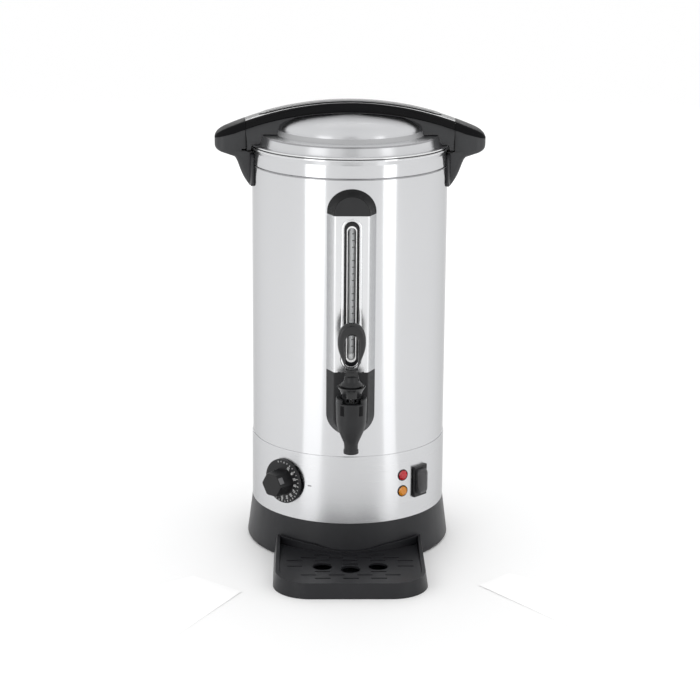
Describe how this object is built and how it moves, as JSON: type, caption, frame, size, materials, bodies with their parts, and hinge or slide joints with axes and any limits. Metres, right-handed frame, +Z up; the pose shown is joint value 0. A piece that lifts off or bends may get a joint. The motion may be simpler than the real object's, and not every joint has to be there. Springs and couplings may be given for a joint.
{
  "type": "hot water urn",
  "caption": "Electric hot water urn: steel tank under a bow-handled lift-off lid, sight-glass column, sprung lever tap, thermostat dial, lamps, switch and a loose drip tray.",
  "frame": {"origin": "on the table under the tank's axis, in the plane of the feet", "axes": "+Z up along the tank's axis; -Y to the front, where the tap is; +X to the right as seen by the user"},
  "size_m": [0.296, 0.3245, 0.4978],
  "materials": {
    "tank_steel": "vertical satin brushing",
    "band_steel": "satin brushing",
    "lid_steel": "spun satin finish",
    "column_steel": "satin brushing",
    "galvanised_steel": "plain galvanised sheet",
    "screw_steel": "bright plated steel",
    "brass": "machined brass",
    "aluminium": "cast aluminium",
    "base_plastic": "fine satin moulding",
    "handle_plastic": "semi-gloss moulding",
    "column_plastic": "fine satin moulding",
    "gauge_plastic": "gloss black",
    "tap_plastic": "satin phenolic moulding",
    "knob_plastic": "satin black",
    "tray_plastic": "fine satin moulding",
    "terminal_plastic": "plain moulding",
    "foot_rubber": "moulded rubber",
    "silicone": "translucent silicone",
    "boot_silicone": "smoked clear silicone",
    "gauge_glass": "clear glass tube",
    "red_lens": "clear red moulding",
    "amber_lens": "clear amber moulding",
    "wire_jacket": "silicone insulation"
  },
  "bodies": {
    "root": {"tank": "tank_steel", "control_band": "band_steel", "base_skirt": "base_plastic", "bottom_plate": "galvanised_steel", "rubber_feet": "foot_rubber", "tie_rods": "screw_steel", "tie_rod_nuts": "screw_steel", "side_handle_left": "handle_plastic", "side_handle_right": "handle_plastic", "handle_screws": "screw_steel", "handle_washers": "silicone", "column_cover": "column_steel", "column_top_cap": "column_plastic", "column_bottom_block": "column_plastic", "column_screws": "screw_steel", "gauge_frame": "gauge_plastic", "gauge_glass": "gauge_glass", "gauge_tee": "brass", "gauge_elbow": "brass", "gauge_elbow_nut": "brass", "gauge_seals": "silicone", "tap_body": "tap_plastic", "tap_washers": "silicone", "tap_lock_nut": "brass", "tap_bonnet": "tap_plastic", "thermostat_body": "aluminium", "thermostat_probe": "brass", "heating_lamp_lens": "red_lens", "keep_warm_lamp_lens": "amber_lens", "lamp_holders": "knob_plastic", "switch_housing": "knob_plastic", "switch_boot": "boot_silicone", "power_inlet": "knob_plastic", "inlet_pins": "screw_steel", "inlet_screws": "screw_steel", "heat_plate": "aluminium", "heater_element": "screw_steel", "cutout_body": "knob_plastic", "cutout_probe": "brass", "terminal_block": "terminal_plastic", "wiring": "wire_jacket"},
    "lid": {"lid_shell": "lid_steel", "lid_locating_ring": "lid_steel", "lid_handle": "handle_plastic", "lid_handle_inlay": "handle_plastic", "lid_handle_screws": "screw_steel"},
    "tap_stem": {"tap_stem": "screw_steel", "tap_seat_cup": "silicone", "tap_spring": "screw_steel"},
    "tap_lever": {"tap_lever": "tap_plastic", "tap_lever_pin": "screw_steel"},
    "thermostat": {"thermostat_knob": "knob_plastic", "thermostat_shaft": "screw_steel"},
    "rocker": {"switch_rocker": "knob_plastic"},
    "drip_tray": {"drip_tray": "tray_plastic"},
    "drip_grille": {"drip_grille": "tray_plastic"},
    "reset_button": {"cutout_reset_button": "red_lens"}
  },
  "joints": [
    {"name": "lid_lift", "type": "slide", "parent": "root", "child": "lid", "axis": [0, 0, 1], "range_m": [0, 0.12]},
    {"name": "stem_slide", "type": "slide", "parent": "root", "child": "tap_stem", "axis": [0, 0, 1], "range_m": [0, 0.005], "stiffness_N_per_m": 1200, "springref_m": -0.002, "deforming": ["tap_spring"]},
    {"name": "tap_lever_hinge", "type": "hinge", "parent": "tap_stem", "child": "tap_lever", "pos_m": [0, -0.15, 0.219], "axis": [1, 0, 0], "range_deg": [0, 35]},
    {"name": "thermostat_turn", "type": "hinge", "parent": "root", "child": "thermostat", "pos_m": [-0.07217, -0.08302, 0.088], "axis": [0.6561, 0.7547, 0], "range_deg": [0, 270]},
    {"name": "rocker_tilt", "type": "hinge", "parent": "root", "child": "rocker", "pos_m": [0.07259, -0.07208, 0.0867], "axis": [0.7046, 0.7096, 0], "range_deg": [-20, 0]},
    {"name": "tray_slide", "type": "slide", "parent": "root", "child": "drip_tray", "axis": [0, -1, 0], "range_m": [0, 0.15]},
    {"name": "grille_lift", "type": "slide", "parent": "drip_tray", "child": "drip_grille", "axis": [0, 0, 1], "range_m": [0, 0.04]},
    {"name": "reset_press", "type": "slide", "parent": "root", "child": "reset_button", "axis": [0, 0, 1], "range_m": [0, 0.002], "stiffness_N_per_m": 600, "springref_m": -0.001}
  ],
  "couplings": [
    {"joint": "tap_lever_hinge", "follows": "stem_slide", "rad_per_m": 122.17}
  ]
}
